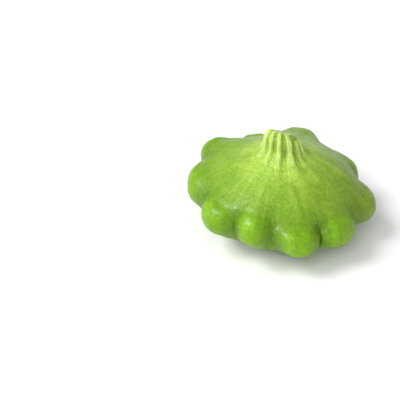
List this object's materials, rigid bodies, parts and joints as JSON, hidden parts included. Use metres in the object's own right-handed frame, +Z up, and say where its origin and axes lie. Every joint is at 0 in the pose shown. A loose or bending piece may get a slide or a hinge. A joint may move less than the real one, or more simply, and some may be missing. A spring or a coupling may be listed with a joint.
{
  "type": "pattypan squash",
  "caption": "Whole light-green pattypan squash, a low domed fruit with round knobs along its rim and a short ribbed stub of stem, resting on its blossom end.",
  "frame": {"origin": "on the resting surface, under the middle of the whole squash's bounding box; the stem's axis stands 2.4 mm from it towards -Y", "axes": "+Z up along the stem, from the blossom end; the rim falls 5 degrees towards +X"},
  "size_m": [0.0954, 0.0914, 0.061],
  "materials": {
    "squash_skin": "satin",
    "stem_rind": "satin"
  },
  "bodies": {
    "root": {"fruit": "squash_skin", "stem": "stem_rind"}
  },
  "joints": []
}
